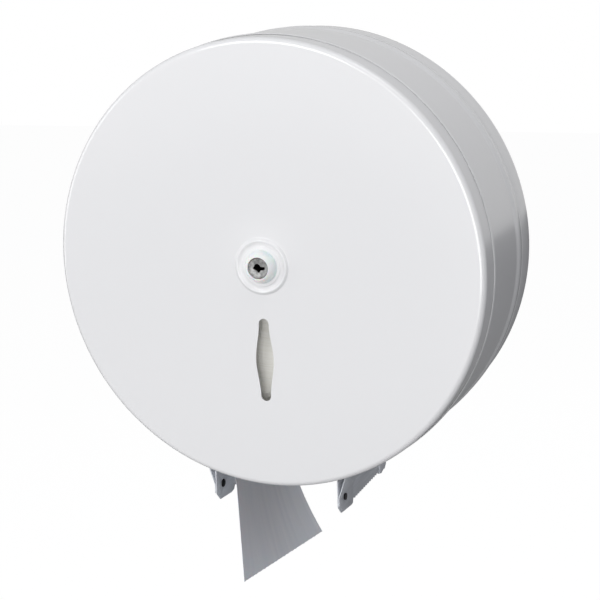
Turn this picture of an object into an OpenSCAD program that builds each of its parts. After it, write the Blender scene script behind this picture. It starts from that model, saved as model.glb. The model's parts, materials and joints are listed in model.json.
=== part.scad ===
// Jumbo toilet roll dispenser: a round sheet-steel drum on the wall, with a hinged cover.
// Origin: centre of the drum on the wall plane. +Z is up and the front looks along -Y.

/* [Paper roll] */
// Radius of the full paper roll
roll_r = 125; // [105:1:150]
// Width of the paper roll
roll_w = 90; // [80:1:110]
// Distance of the roll's rear face from the wall
roll_h = 15; // [14:0.5:18]
// Wall of the cardboard core
core_wall = 1.5; // [1:0.1:2]

/* [Cover] */
// Room between the full roll and the outside of the drum
roll_room = 27; // [25:0.5:32]
// Room between the roll's front and the outside of the drum's face
front_room = 13; // [12:0.5:20]
// Distance of the cover's rear edge from the wall
cover_rear = 25; // [24:0.5:26]
// Thickness of the cover's steel
cover_sheet = 0.7; // [0.6:0.1:1]
// Outer radius of the rounding between face and side
edge_round = 4; // [3:0.5:6]
// How much smaller the pan's radius is at its face than at the edge of its side
pan_draft = 0.8; // [0.5:0.1:1.8]
// Depth of the front pan, from the face to the edge of its side
pan_depth = 26; // [22:1:30]
// Distance of the wrapped band's front edge behind the face
band_setback = 18; // [15:0.5:20]
// Distance from the wall of the middle of the swage, where the band flares over the back plate's rim
swage_h = 37; // [34:0.5:40]
// Length over which the swage widens the band
swage_l = 8; // [6:1:8]
// How far the swage widens the band's radius
swage_out = 1.3; // [1.2:0.1:1.6]

/* [Lock boss and sight window] */
// Width of the embossed ring round the lock
ring_w = 4.3; // [3.6:0.1:6]
// Width of the valley inside the ring
valley_w = 1.4; // [1:0.1:2]
// How far the seat in the middle reaches past the lock's nose
seat_past = 1.9; // [1.4:0.1:2.4]
// Height of the embossed ring
boss_h = 1.3; // [0.8:0.1:1.8]
// Height of the flat inside the ring, which carries the lock
seat_h = 0.9; // [0.5:0.1:1.2]
// Distance from the drum's centre down to the window's middle
window_down = 62; // [58:1:68]
// Length of the sight window
window_l = 57; // [40:1:60]
// Width of the window at its middle
window_w = 12.8; // [10:0.2:16]
// Width of the window near its round ends
window_end_w = 7.2; // [6:0.2:9]

/* [Back plate] */
// Thickness of the back plate's steel
back_sheet = 0.8; // [0.8:0.1:1.2]
// Length of the rim's neck under the cover's flared edge
rim_lap = 5; // [4:0.5:5]
// Radial clearance between the neck and the cover round it
rim_clear = 0.7; // [0.6:0.1:0.9]
// Gap between the cover's rear edge and the rim's shoulder
rim_gap_l = 1.5; // [1.2:0.1:2]
// How much smaller the rim's shoulder is than the cover's rear edge, as a radius
rim_step = 0.8; // [0.4:0.1:1]
// How much smaller the rim is at the wall than at its shoulder, as a radius
rim_draft = 0.3; // [0:0.1:0.6]
// Height of the stiffening bead pressed into the back plate
bead_h = 3; // [2:0.5:4]
// Radius of the bead's crest
bead_r = 104; // [100:1:112]
// Sideways spacing of the wall screw holes
wall_dx = 130; // [120:1:136]
// Upright spacing of the wall screw holes
wall_dz = 130; // [120:1:136]
// Radius of a wall screw hole
wall_hole_r = 2.75; // [2:0.25:4]

/* [Paper slot] */
// Half the free width between the two cutters
slot_half = 45; // [40:0.5:50]
// Distance of the cutters' rear ends from the wall
cutter_rear = 3; // [2.5:0.5:4]
// Thickness of a cutter and of the cheek behind it
cutter_sheet = 0.8; // [0.6:0.1:1]
// How far the cutters' front ends stand past the roll's front
cutter_over = 1.5; // [0.5:0.5:3]
// How far the cutters reach below the drum's edge
cutter_below = 20; // [18:0.5:26]
// Height of the cheeks' upright strip behind the cutters
cheek_strip = 12.6; // [12:0.1:14]
// Length of the front tab of a cutter
tab_front_l = 31; // [26:0.5:32]
// Length of the rear tab of a cutter
tab_rear_l = 18; // [16:0.5:20]
// Pitch of the cutter's teeth
tooth_pitch = 4.3; // [3:0.1:6]
// Depth of the cutter's teeth
tooth_h = 1.4; // [0.8:0.1:2]
// Sideways lean of a cheek for each millimetre of height
cheek_lean = 0.316; // [0.2:0.01:0.4]
// Radius of a cutter rivet's shank
cutter_rivet_r = 1.6; // [1.2:0.1:2]

/* [Roll and spindle] */
// How far the spindle lies above the drum's centre
spindle_up = 2; // [0:0.5:4]
// Outer radius of the hub's sleeve, which carries the core
hub_r = 22.2; // [20:0.1:24]
// Wall of the hub's sleeve
hub_wall = 1.8; // [1.5:0.1:2]
// Radius of the fixed spindle post
post_r = 8; // [7:0.5:9]
// Running clearance of the hub on the post, as a radius
hub_clear = 0.06; // [0.02:0.01:0.1]
// Radius of the spindle's foot
foot_r = 32; // [28:1:40]
// Thickness of the spindle's foot
foot_t = 2; // [1.5:0.1:2.5]
// Length of the foot's socket
socket_l = 7; // [6:0.5:8]
// Wall of the foot's socket
socket_wall = 3; // [2:0.1:4]
// Thickness of the washers at both ends of the hub
washer_t = 1; // [0.8:0.1:1.2]
// Width of a washer's ring
washer_w = 5; // [4:0.1:5.5]

/* [Lock] */
// Radius of the lock nose where it sits on the cover
nose_r = 11.2; // [10.5:0.1:12.5]
// Height of the lock nose above the seat
nose_h = 6.1; // [5:0.1:7]
// Radius of the plug's face
plug_face_r = 6.9; // [6.5:0.1:7.2]
// Radius of the plug's body in the lock barrel
plug_r = 5; // [4.5:0.1:5.4]
// Running clearance of the plug in the barrel, as a radius
plug_clear = 0.05; // [0.02:0.01:0.1]
// Outer radius of the lock barrel
barrel_r = 8; // [7.6:0.1:8.2]
// Length of the barrel behind the cover's face
barrel_l = 19.8; // [18:0.1:22]
// Reach of the cam from the lock's axis
cam_reach = 13; // [12:0.5:13.5]
// Width of the cam
cam_w = 9; // [8:0.5:10]
// Thickness of the cam
cam_t = 2; // [1.5:0.1:2.2]
// Distance of the cam's outer face behind the barrel's end
cam_drop = 4.2; // [4:0.1:4.4]

/* [Hinge] */
// Length of the hinge
hinge_l = 50; // [44:1:60]
// Radius of the hinge's knuckles
knuckle_r = 3; // [2.8:0.1:3.2]
// Radius of the hinge pin
pin_r = 1.5; // [1.2:0.1:1.8]
// Running clearance of the pin in the cover's knuckles, as a radius
pin_clear = 0.05; // [0.02:0.01:0.1]
// Length of the middle knuckle
mid_knuckle_l = 16; // [12:1:20]
// Gap between neighbouring knuckles
knuckle_gap = 0.4; // [0.3:0.1:0.6]
// Thickness of the hinge's fixed leaf
leaf_t = 1.2; // [1:0.1:1.4]
// Length of the fixed leaf along the back plate
leaf_l = 21; // [18:0.5:24]
// Thickness of the saddle that carries the cover's knuckles
saddle_t = 1.7; // [1.4:0.1:2]
// Distance of the hinge axis from the wall
hinge_h = 4; // [3.8:0.1:4.4]

/* [Paper tail] */
// Thickness of the tail's solid
tail_t = 0.4; // [0.3:0.1:0.8]
// Gap between the tail and the roll where it leaves
tail_gap = 0.4; // [0.3:0.1:1]
// Distance of the hanging tail to the left of the drum's centre
tail_x = 31.6; // [26:0.2:34]
// How far the tail's front corner hangs below the drum's edge
tail_below = 79.4; // [50:0.2:100]
// Radius of the bend where the tail turns downwards
tail_bend = 40; // [30:1:50]
// How far the whole tail drifts sideways from the bend to its end
tail_drift = 4.2; // [0:0.1:6]
// How much further the curl carries the tail's rear corner sideways
tail_sweep = 26.4; // [0:0.1:32]
// How much higher the tail's rear corner hangs than its front one
tail_lift = 6.5; // [0:0.1:10]

/* [Hidden] */
$fn = 96;
// Steps of a circle as large as the drum
drum_fn = 360;
// How far a cut reaches past the faces that it opens
over = 1;

white_paint = "#eceded";
zinc = "#b9bcc0";
dark_zinc = "#2b2b2d";
hub_grey = "#8d9298";
paper_white = "#e6e5df";
card_brown = "#b79a72";

// Cover outline, as radii and distances from the wall
roll_front = roll_h + roll_w;
cover_r = roll_r + roll_room;
cover_depth = roll_front + front_room;
band_r = cover_r + cover_sheet;
skirt_r = band_r + swage_out;
band_front = cover_depth - band_setback;
pan_front_r = cover_r - pan_draft;
pan_rear = cover_depth - pan_depth;
pan_straight = 4;
swage_top = swage_h + swage_l / 2;
swage_low = swage_h - swage_l / 2;
face_in = cover_depth - cover_sheet;

// Radii of the pressing round the lock, from the seat outwards
seat_r = nose_r + seat_past;
valley_in = seat_r + 0.8;
valley_out = valley_in + valley_w;
boss_r = valley_out + ring_w;
valley_h = 0.3;

// Back plate: the rim's own radius, and its neck, which the cover closes over
rim_r = skirt_r - rim_step;
neck_r = skirt_r - cover_sheet - rim_clear;
rim_h = cover_rear + rim_lap;
rim_shoulder = cover_rear - rim_gap_l;
bead_half = 6;

// Rivets
rivet_r = 1.6;
rivet_head_h = 1.2;
rivet_tail_h = 0.8;
rivet_sunk = 0.1;
cutter_head_h = 1.3;
cutter_tail_h = 1;

// Cutters and cheeks, in the plane X and Z, and the slot that they stand in
cutter_front = roll_front + cutter_over;
cutter_low = cover_r + cutter_below;
cutter_in = 5;
cutter_top = cover_r - cutter_in;
cheek_x = slot_half + cutter_sheet;
cheek_fold = cutter_low - cheek_strip;
tab_front_end = cutter_front - tab_front_l;
tab_rear_end = cutter_rear + tab_rear_l;
tab_dip = 2;
tab_curve = 3;
tab_nose = 6;
tab_back = 1;
blade_edge = cutter_low - tab_dip;
slot_gap = 4.2;
slot_edge = cheek_x + slot_gap;
slot_front = cutter_front + 2.5;
rim_gap = 3;
rivet_low = cutter_low - 10.3;
rivet_front_h = cutter_front - 11;
rivet_rear_h = cutter_rear + 7.5;

// Lock stack, as distances from the wall
seat = cover_depth + seat_h;
barrel_end = cover_depth - barrel_l;
cam_top = barrel_end - cam_drop;
cam_low = cam_top - cam_t;
cam_nut_t = 1.8;
nut_room = 0.8;
barrel_lap = 0.2;
barrel_clear = 0.2;
flange_t = 1.5;
flange_r = nose_r - 1;
nose_top = seat + nose_h;
nose_gap = 0.3;
nose_lip = 0.3;
plug_head_h = seat + flange_t + 0.2;
plug_face_h = nose_top - 0.6;
tail_rod_r = 3;
keeper_top = barrel_end - 1;
lock_nut_t = 3;
lock_nut_w = 4;
cam_boss_r = 6;

// Keeper on the end of the post
keeper_t = 1.2;
keeper_arm_x = cam_reach + 1.5;
keeper_lip_x = cam_w / 2 + 4;
keeper_w = 16;
screw_r = 2;
screw_l = 12;
screw_head_r = 3.8;
screw_head_t = 1.2;
post_end = cam_low - cam_nut_t - nut_room - screw_head_t - keeper_t;
screw_top = post_end + keeper_t + screw_head_t;
screw_slot_w = 1;
screw_slot_d = 0.7;

// Spindle, hub and the stack of pieces along it
socket_r = post_r + socket_wall;
socket_end = back_sheet + foot_t + socket_l;
end_gap = 0.3;
washer_clear = 0.1;
hub_rear = socket_end + washer_t + end_gap;
clip_t = 1;
clip_w = 3.5;
groove_gap = 0.1;
groove_r = post_r - 1;
post_tip = 2.6;
clip_h = post_end - post_tip - clip_t;
front_washer_h = clip_h - end_gap - washer_t;
hub_bearing_end = front_washer_h - end_gap;
hub_bearing_wall = 2.5;
hub_short = 5;
hub_front = roll_front - hub_short;
hub_web_t = 3;
hub_web_in = 20;
sleeve_in = hub_r - hub_wall;
core_r = hub_r + core_wall;
collar_t = 2;
collar_r = core_r + 6;

// Keyway: round middle, a long wing to the right, a short one to the left and one below
key_r = 2.1;
key_right = 4.5;
key_left = 3.3;
key_small_r = 0.9;
key_depth = 14;

// Hinge
hinge_x = skirt_r + knuckle_r + 0.3;
leaf_out_x = skirt_r + saddle_t;
saddle_depth = 11;
leaf_front = swage_top + 14;
leaf_rivet_h = swage_top + 7;
notch_h = hinge_h + 5;
rim_notch_h = hinge_h + knuckle_r + 2;
rim_notch_half = mid_knuckle_l / 2 + 2;
fixed_leaf_neck = neck_r - 5;
fixed_leaf_in = fixed_leaf_neck - leaf_l;
pin_past = 1;
pin_head_gap = 0.4;
pin_head_t = 1.2;

// Paper tail
tail_mid = roll_r + tail_gap + tail_t / 2;
tail_start = [-tail_mid * cos(45), spindle_up - tail_mid * sin(45)];
tail_run = -tail_x - tail_start[0] - tail_bend * (1 - cos(45));
tail_hang = tail_start[1] - tail_run - tail_bend * sin(45);
tail_low = cover_r + tail_below;
tail_bend_l = tail_bend * 45 * PI / 180;
tail_drop = tail_low + tail_hang;
tail_steps_down = 12;
tail_steps_bend = 8;
tail_strips = 8;

// Turns a shape drawn on the wall, with Z as the distance from it, to stand out along -Y.
module on_wall() {
    rotate([90, 0, 0]) children();
}

module on_spindle() {
    on_wall() translate([0, spindle_up, 0]) children();
}

// A tube or disc round Z, from one distance from the wall to another.
module tube(r_out, r_in, from, to) {
    translate([0, 0, from])
        difference() {
            cylinder(r = r_out, h = to - from);
            if (r_in > 0)
                translate([0, 0, -1]) cylinder(r = r_in, h = to - from + 2);
        }
}

// How far a circle's edge falls away at a sideways distance from its middle.
function sagitta(r, half) = r - sqrt(r * r - half * half);

// A quarter of a ring in the plane, in the corner away from its centre.
module quarter_ring(r_out, r_in) {
    intersection() {
        difference() {
            circle(r = r_out);
            circle(r = r_in);
        }
        square(r_out);
    }
}

// A rivet along Z with its head at the top: shank, domed head and, where it has one, a flat tail.
module rivet(r, head_h, grip, tail_h = 0) {
    dome_r = (pow(r * 1.9, 2) + head_h * head_h) / (2 * head_h);
    intersection() {
        translate([0, 0, head_h - dome_r]) sphere(r = dome_r);
        cylinder(r = r * 2.5, h = head_h);
    }
    translate([0, 0, -grip]) cylinder(r = r, h = grip + 0.1);
    if (tail_h > 0) translate([0, 0, -grip - tail_h]) cylinder(r = r * 1.5, h = tail_h);
}

// Back plate

// How deep a straight cut of a half width goes to pass right through the rim and its neck.
function rim_cut_depth(half) = over + sagitta(neck_r, half) + rim_r - neck_r + back_sheet + over;

// A dished sheet: flat base, one pressed bead and a rim whose neck the cover closes over.
module back_plate() {
    base = [
        [0, 0], [bead_r - bead_half, 0], [bead_r - bead_half / 3, bead_h],
        [bead_r + bead_half / 3, bead_h], [bead_r + bead_half, 0], [rim_r - rim_draft, 0]
    ];
    lifted = [for (i = [len(base) - 1:-1:0]) base[i] + [0, back_sheet]];
    rim = [
        [rim_r - rim_draft, 0], [rim_r, rim_shoulder - back_sheet], [neck_r, rim_shoulder],
        [neck_r, rim_h], [neck_r - back_sheet, rim_h],
        [neck_r - back_sheet, rim_shoulder - back_sheet / 2],
        [rim_r - back_sheet, rim_shoulder - 2 * back_sheet],
        [rim_r - rim_draft - back_sheet, 0]
    ];
    color(white_paint)
        difference() {
            on_wall() difference() {
                rotate_extrude() {
                    polygon(concat(base, lifted));
                    polygon(rim);
                }
                for (x = [-1, 1], y = [-1, 1])
                    translate([x * wall_dx / 2, y * wall_dz / 2, -over])
                        cylinder(r = wall_hole_r, h = bead_h + back_sheet + 2 * over);
                translate([-slot_edge - rim_gap, -rim_r - over, back_sheet])
                    cube([
                        2 * (slot_edge + rim_gap), rim_cut_depth(slot_edge + rim_gap), rim_h
                    ]);
                translate([-rim_r - over, -rim_notch_half, back_sheet])
                    cube([
                        rim_cut_depth(rim_notch_half), 2 * rim_notch_half, rim_notch_h - back_sheet
                    ]);
            }
            on_spindle()
                foot_rivet_places()
                    translate([0, 0, -over]) cylinder(r = rivet_r, h = back_sheet + 2 * over);
            fixed_rivet_places()
                translate([0, 0, -leaf_t - back_sheet - over])
                    cylinder(r = rivet_r, h = leaf_t + back_sheet + 2 * over);
        }
}

// Spindle

module foot_rivet_places() {
    for (a = [45:90:315])
        rotate([0, 0, a]) translate([(foot_r + socket_r) / 2, 0, 0]) children();
}

module spindle_foot() {
    color(zinc)
        on_spindle()
            difference() {
                union() {
                    tube(foot_r, 0, back_sheet, back_sheet + foot_t);
                    tube(socket_r, 0, back_sheet, socket_end);
                }
                cylinder(r = post_r, h = socket_end + over);
                foot_rivet_places() cylinder(r = rivet_r, h = back_sheet + foot_t + over);
            }
}

module foot_rivets() {
    color(zinc)
        on_spindle()
            foot_rivet_places()
                translate([0, 0, back_sheet + foot_t])
                    rivet(rivet_r, rivet_head_h, back_sheet + foot_t - rivet_sunk);
}

module spindle_post() {
    color(zinc)
        on_spindle()
            difference() {
                tube(post_r, 0, back_sheet, post_end);
                tube(post_r + over, groove_r, clip_h - groove_gap, clip_h + clip_t + groove_gap);
                translate([0, 0, post_end - screw_l]) cylinder(r = screw_r, h = screw_l + over);
            }
}

module rear_washer() {
    color(zinc)
        on_spindle()
            tube(post_r + washer_w, post_r + washer_clear, socket_end, socket_end + washer_t);
}

module front_washer() {
    color(zinc)
        on_spindle()
            tube(post_r + washer_w, post_r + washer_clear, front_washer_h, front_washer_h + washer_t);
}

// An open clip that snaps into the post's groove from the side.
module retaining_clip() {
    color(dark_zinc)
        on_spindle()
            difference() {
                tube(post_r + clip_w, groove_r, clip_h, clip_h + clip_t);
                translate([-groove_r * 0.8, -post_r - clip_w - over, clip_h - over])
                    cube([groove_r * 1.6, post_r + clip_w + over, clip_t + 2 * over]);
            }
}

// A bent strip on the post's end; the cam turns in behind its lip.
module lock_keeper() {
    color(zinc)
        on_spindle()
            difference() {
                translate([0, -keeper_w / 2, 0]) {
                    translate([-post_r, 0, post_end])
                        cube([post_r + keeper_arm_x + keeper_t, keeper_w, keeper_t]);
                    translate([keeper_arm_x, 0, post_end])
                        cube([keeper_t, keeper_w, keeper_top - post_end]);
                    translate([keeper_lip_x, 0, keeper_top - keeper_t])
                        cube([keeper_arm_x + keeper_t - keeper_lip_x, keeper_w, keeper_t]);
                }
                translate([0, 0, post_end - over]) cylinder(r = screw_r, h = keeper_t + 2 * over);
            }
}

module keeper_screw() {
    color(dark_zinc)
        on_spindle()
            difference() {
                union() {
                    tube(screw_r, 0, post_end - screw_l, post_end + keeper_t);
                    tube(screw_head_r, 0, post_end + keeper_t, screw_top);
                }
                for (a = [0, 90])
                    rotate([0, 0, a])
                        translate([-screw_head_r, -screw_slot_w / 2, screw_top - screw_slot_d])
                            cube([2 * screw_head_r, screw_slot_w, screw_slot_d + over]);
            }
}

// Hinge

// Places a shape drawn with Z up on the hinge's upright axis.
module on_hinge() {
    translate([-hinge_x, -hinge_h, 0]) children();
}

// The fixed leaf lies on the back plate and carries the middle knuckle.
module hinge_leaf_fixed() {
    color(zinc)
        difference() {
            union() {
                translate([-fixed_leaf_neck, -back_sheet - leaf_t, -hinge_l / 2])
                    cube([fixed_leaf_neck - fixed_leaf_in, leaf_t, hinge_l]);
                translate([-hinge_x, -back_sheet - leaf_t, -mid_knuckle_l / 2])
                    cube([hinge_x - fixed_leaf_neck + over, leaf_t, mid_knuckle_l]);
                on_hinge() translate([0, 0, -mid_knuckle_l / 2])
                    cylinder(r = knuckle_r, h = mid_knuckle_l);
            }
            on_hinge() translate([0, 0, -hinge_l / 2]) cylinder(r = pin_r, h = hinge_l);
            fixed_rivet_places()
                translate([0, 0, -leaf_t - over]) cylinder(r = rivet_r, h = leaf_t + 2 * over);
        }
}

module fixed_rivet_places() {
    for (z = [-hinge_l / 3, 0, hinge_l / 3])
        translate([-(fixed_leaf_in + fixed_leaf_neck) / 2, -back_sheet - leaf_t, z])
            rotate([90, 0, 0]) children();
}

module hinge_rivets_fixed() {
    color(zinc)
        fixed_rivet_places() rivet(rivet_r, rivet_head_h, back_sheet + leaf_t - rivet_sunk);
}

module hinge_pin() {
    low = -hinge_l / 2 - pin_past;
    top = hinge_l / 2 + pin_head_gap;
    color(dark_zinc)
        on_hinge() {
            translate([0, 0, low]) cylinder(r = pin_r, h = top - low);
            translate([0, 0, top]) cylinder(r = pin_r + 1, h = pin_head_t);
        }
}

// The cover's leaf is a saddle on the drum with the two outer knuckles.
module hinge_leaf_cover() {
    outer_l = (hinge_l - mid_knuckle_l) / 2 - knuckle_gap;
    color(white_paint)
        difference() {
            union() {
                translate([-leaf_out_x, -leaf_front, -hinge_l / 2])
                    cube([saddle_depth, leaf_front - hinge_h, hinge_l]);
                for (z = [-hinge_l / 2, hinge_l / 2 - outer_l])
                    on_hinge() translate([0, 0, z]) cylinder(r = knuckle_r, h = outer_l);
            }
            on_wall() cover_envelope();
            translate([-hinge_x - knuckle_r - over, -notch_h, -mid_knuckle_l / 2 - knuckle_gap])
                cube([hinge_x, notch_h, mid_knuckle_l + 2 * knuckle_gap]);
            on_hinge() translate([0, 0, -hinge_l]) cylinder(r = pin_r + pin_clear, h = 2 * hinge_l);
            cover_rivet_holes();
        }
}

module cover_rivet_places() {
    for (z = [-hinge_l / 3, 0, hinge_l / 3])
        translate([-leaf_out_x, -leaf_rivet_h, z]) rotate([0, -90, 0]) children();
}

module cover_rivet_holes() {
    cover_rivet_places()
        translate([0, 0, -saddle_depth]) cylinder(r = rivet_r, h = saddle_depth + over);
}

// Each rivet reaches through the saddle and the drum's wall, which curve away from its head.
module hinge_rivets_cover() {
    color(white_paint)
        for (z = [-hinge_l / 3, 0, hinge_l / 3]) {
            wall_x = sqrt(pow(band_r - cover_sheet, 2) - pow(abs(z) + rivet_r * 1.5, 2));
            translate([-leaf_out_x, -leaf_rivet_h, z])
                rotate([0, -90, 0]) rivet(rivet_r, rivet_head_h, leaf_out_x - wall_x, rivet_tail_h);
        }
}

// Cover

// The window's outline: a slim lozenge with soft sides and round ends.
module window_outline() {
    end_r = window_end_w / 2;
    half = window_l / 2 - end_r;
    mid = window_w / 2;
    polygon([
        for (side = [1, -1])
            each concat(
                [
                    for (t = [-1:0.125:1])
                        side * [end_r + (mid - end_r) * (1 + cos(180 * t)) / 2, t * half]
                ],
                [for (a = [15:15:165]) side * [end_r * cos(a), half + end_r * sin(a)]]
            )
    ]);
}

// The drawn front pan: face, ring round the lock, rounded edge and short side, which widens a little.
module cover_pan() {
    t = cover_sheet;
    ring = [
        [barrel_r + barrel_clear, seat_h], [seat_r, seat_h], [valley_in, valley_h],
        [valley_out, valley_h], [valley_out + ring_w * 0.23, boss_h * 0.75],
        [valley_out + ring_w * 0.48, boss_h], [valley_out + ring_w * 0.73, boss_h * 0.75],
        [boss_r, 0]
    ];
    under = [for (i = [len(ring) - 1:-1:0]) ring[i] - [0, t]];
    side = [
        [cover_r, pan_rear], [cover_r, pan_rear + pan_straight],
        [pan_front_r, cover_depth - edge_round]
    ];
    inside = [for (i = [len(side) - 1:-1:0]) side[i] - [t, 0]];
    color(white_paint)
        on_wall()
            difference() {
                union() {
                    difference() {
                        rotate_extrude() {
                            translate([0, face_in]) square([pan_front_r - edge_round, t]);
                            translate([pan_front_r - edge_round, cover_depth - edge_round])
                                quarter_ring(edge_round, edge_round - t);
                            polygon(concat(side, inside));
                        }
                        translate([0, spindle_up, face_in - over])
                            cylinder(r = boss_r, h = t + 2 * over);
                    }
                    translate([0, spindle_up, cover_depth])
                        rotate_extrude() polygon(concat(ring, under));
                }
                translate([0, -window_down, face_in - over])
                    linear_extrude(t + 2 * over) window_outline();
                translate([-slot_edge, -cover_r - over, 0])
                    cube([2 * slot_edge, cover_r, slot_front]);
            }
}

// The filled outline of the closed drum, for what has to sit on its outside.
module cover_envelope() {
    rotate_extrude($fn = drum_fn)
        polygon([
            [0, 0], [skirt_r, 0], [skirt_r, swage_low], [band_r, swage_top], [band_r, band_front],
            [cover_r, band_front], [pan_front_r, cover_depth - edge_round],
            [0, cover_depth - edge_round]
        ]);
}

// The band wrapped round the pan's side, swaged outwards where it closes over the back plate's rim.
module cover_band() {
    outer = [
        [skirt_r, cover_rear], [skirt_r, swage_low], [band_r, swage_top], [band_r, band_front]
    ];
    inner = [for (i = [len(outer) - 1:-1:0]) outer[i] - [cover_sheet, 0]];
    color(white_paint)
        difference() {
            on_wall()
                difference() {
                    rotate_extrude() polygon(concat(outer, inner));
                    translate([-slot_edge, -skirt_r - over, 0])
                        cube([2 * slot_edge, skirt_r, cover_depth]);
                }
            cover_rivet_holes();
        }
}

// Cutters

// Draws one side of the slot, on the right for 1 and mirrored on the left for -1.
module slot_side(side) {
    if (side > 0)
        children();
    else
        mirror([1, 0, 0]) children();
}

// A cutter's outline, seen along X: distance from the wall across, height up.
module cutter_outline(blade_low) {
    n = floor((tab_front_end - tab_rear_end) / tooth_pitch);
    teeth_l = n * tooth_pitch;
    teeth_from = (tab_front_end + tab_rear_end - teeth_l) / 2;
    polygon(concat(
        [
            [cutter_rear, -cutter_top], [cutter_rear, -cutter_low + tab_curve],
            [cutter_rear + tab_curve, -cutter_low],
            [(cutter_rear + tab_rear_end) / 2, -cutter_low - tab_dip],
            [tab_rear_end - tab_curve / 2, -cutter_low], [tab_rear_end, -blade_low]
        ],
        [
            for (i = [0:n - 1], step = [0, 0.5])
                [teeth_from + (i + step) * tooth_pitch, -blade_low - (step > 0 ? tooth_h : 0)]
        ],
        [
            [tab_front_end, -blade_low], [tab_front_end + tab_curve / 2, -cutter_low - tab_dip * 0.4],
            [tab_front_end + 2 * tab_curve, -cutter_low - tab_dip * 0.8],
            [cutter_front - tab_nose, -cutter_low], [cutter_front, -cutter_low + tab_nose],
            [cutter_front, -cutter_top]
        ]
    ));
}

// Stands an outline of the form above up at a distance to the right of the slot's middle.
module stand_up(x, t) {
    translate([x, 0, 0])
        rotate([90, 0, 90]) mirror([1, 0, 0]) linear_extrude(t) children();
}

module cutter_rivet_places() {
    for (h = [rivet_front_h, rivet_rear_h])
        translate([slot_half, -h, -rivet_low]) rotate([0, -90, 0]) children();
}

// The serrated blade stands upright beside the slot and is riveted to the cheek.
module cutter(side) {
    color(zinc)
        slot_side(side)
            difference() {
                stand_up(slot_half, cutter_sheet) cutter_outline(blade_edge);
                cutter_rivet_holes();
            }
}

module cutter_rivet_holes() {
    reach = cutter_sheet + cover_sheet + over;
    cutter_rivet_places()
        translate([0, 0, -reach]) cylinder(r = cutter_rivet_r, h = reach + over);
}

// The folded cheek hangs from the band and leans in to meet the cutter.
module cheek(side) {
    drop = cheek_strip + 2 * tab_curve;
    rise = cheek_fold - cutter_top + cutter_in + tab_curve;
    low_in = [cheek_x, -cheek_fold - drop];
    fold_in = [cheek_x, -cheek_fold];
    top_in = [cheek_x + rise * cheek_lean, -cheek_fold + rise];
    across = [cover_sheet, 0];
    color(white_paint)
        slot_side(side)
            difference() {
                intersection() {
                    on_wall()
                        translate([0, 0, cutter_rear])
                            linear_extrude(cutter_front - cutter_rear)
                                polygon([
                                    low_in, fold_in, top_in, top_in + across, fold_in + across,
                                    low_in + across
                                ]);
                    stand_up(0, slot_half * 2)
                        polygon([
                            [cutter_rear, -cutter_top + 2 * cutter_in],
                            [cutter_rear, -cutter_low + tab_curve],
                            [cutter_rear + tab_curve, -cutter_low],
                            [tab_rear_end - tab_curve, -cutter_low],
                            [tab_rear_end - tab_curve, -cheek_fold + tab_curve],
                            [tab_front_end + tab_curve, -cheek_fold + tab_curve],
                            [tab_front_end + tab_curve, -cutter_low - tab_dip * 0.3],
                            [tab_front_end + 2 * tab_curve, -cutter_low - tab_dip * 0.5],
                            [cutter_front - tab_nose, -cutter_low + tab_back],
                            [cutter_front, -cutter_low + tab_nose + tab_back],
                            [cutter_front, -cutter_top + 2 * cutter_in]
                        ]);
                }
                on_wall() cover_envelope();
                cutter_rivet_holes();
            }
}

module cutter_rivets(side) {
    color(dark_zinc)
        slot_side(side)
            cutter_rivet_places()
                rivet(cutter_rivet_r, cutter_head_h, cutter_sheet + cover_sheet, cutter_tail_h);
}

module cheek_left() { cheek(-1); }
module cheek_right() { cheek(1); }
module cutter_left() { cutter(-1); }
module cutter_right() { cutter(1); }
module cutter_rivets_left() { cutter_rivets(-1); }
module cutter_rivets_right() { cutter_rivets(1); }

// Lock

// The domed nose round the plug's face: a slice of a ball, hollow over the barrel's flange.
module lock_nose() {
    top_r = plug_face_r + nose_gap + nose_lip;
    drop = (nose_r * nose_r - top_r * top_r - nose_h * nose_h) / (2 * nose_h);
    ball_r = sqrt(nose_r * nose_r + drop * drop);
    color(white_paint)
        on_spindle()
            difference() {
                intersection() {
                    translate([0, 0, seat - drop]) sphere(r = ball_r);
                    tube(nose_r + over, 0, seat, nose_top);
                }
                tube(flange_r, 0, seat - over, seat + flange_t);
                tube(plug_face_r + nose_gap, 0, seat, nose_top + over);
            }
}

module lock_barrel() {
    color(zinc)
        on_spindle()
            difference() {
                union() {
                    tube(barrel_r, 0, barrel_end, seat + barrel_lap);
                    tube(flange_r, 0, seat, seat + flange_t);
                }
                cylinder(r = plug_r + plug_clear, h = 2 * cover_depth);
            }
}

// A hexagon nut that clamps the barrel from inside the cover.
module lock_nut() {
    color(zinc)
        on_spindle()
            translate([0, 0, face_in + seat_h - lock_nut_t])
                difference() {
                    cylinder(r = barrel_r + lock_nut_w, h = lock_nut_t, $fn = 6);
                    translate([0, 0, -over]) cylinder(r = barrel_r, h = lock_nut_t + 2 * over);
                }
}

// The keyway as cut in the plug's face: a round middle, a long wing and two short ones.
module keyway() {
    wing = key_r - 0.2;
    circle(r = key_r);
    translate([0, -1.1]) square([key_right, wing]);
    translate([-key_left, -0.9]) square([key_left, 1.2]);
    translate([0.3, -key_r]) circle(r = key_small_r);
}

module lock_plug() {
    color(zinc)
        on_spindle()
            difference() {
                union() {
                    tube(plug_face_r, 0, plug_head_h, plug_face_h);
                    tube(plug_r, 0, barrel_end - 1, plug_head_h + barrel_lap);
                    tube(tail_rod_r, 0, cam_low - cam_nut_t, barrel_end);
                }
                translate([0, 0, plug_face_h - key_depth])
                    linear_extrude(key_depth + over) keyway();
            }
}

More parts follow.
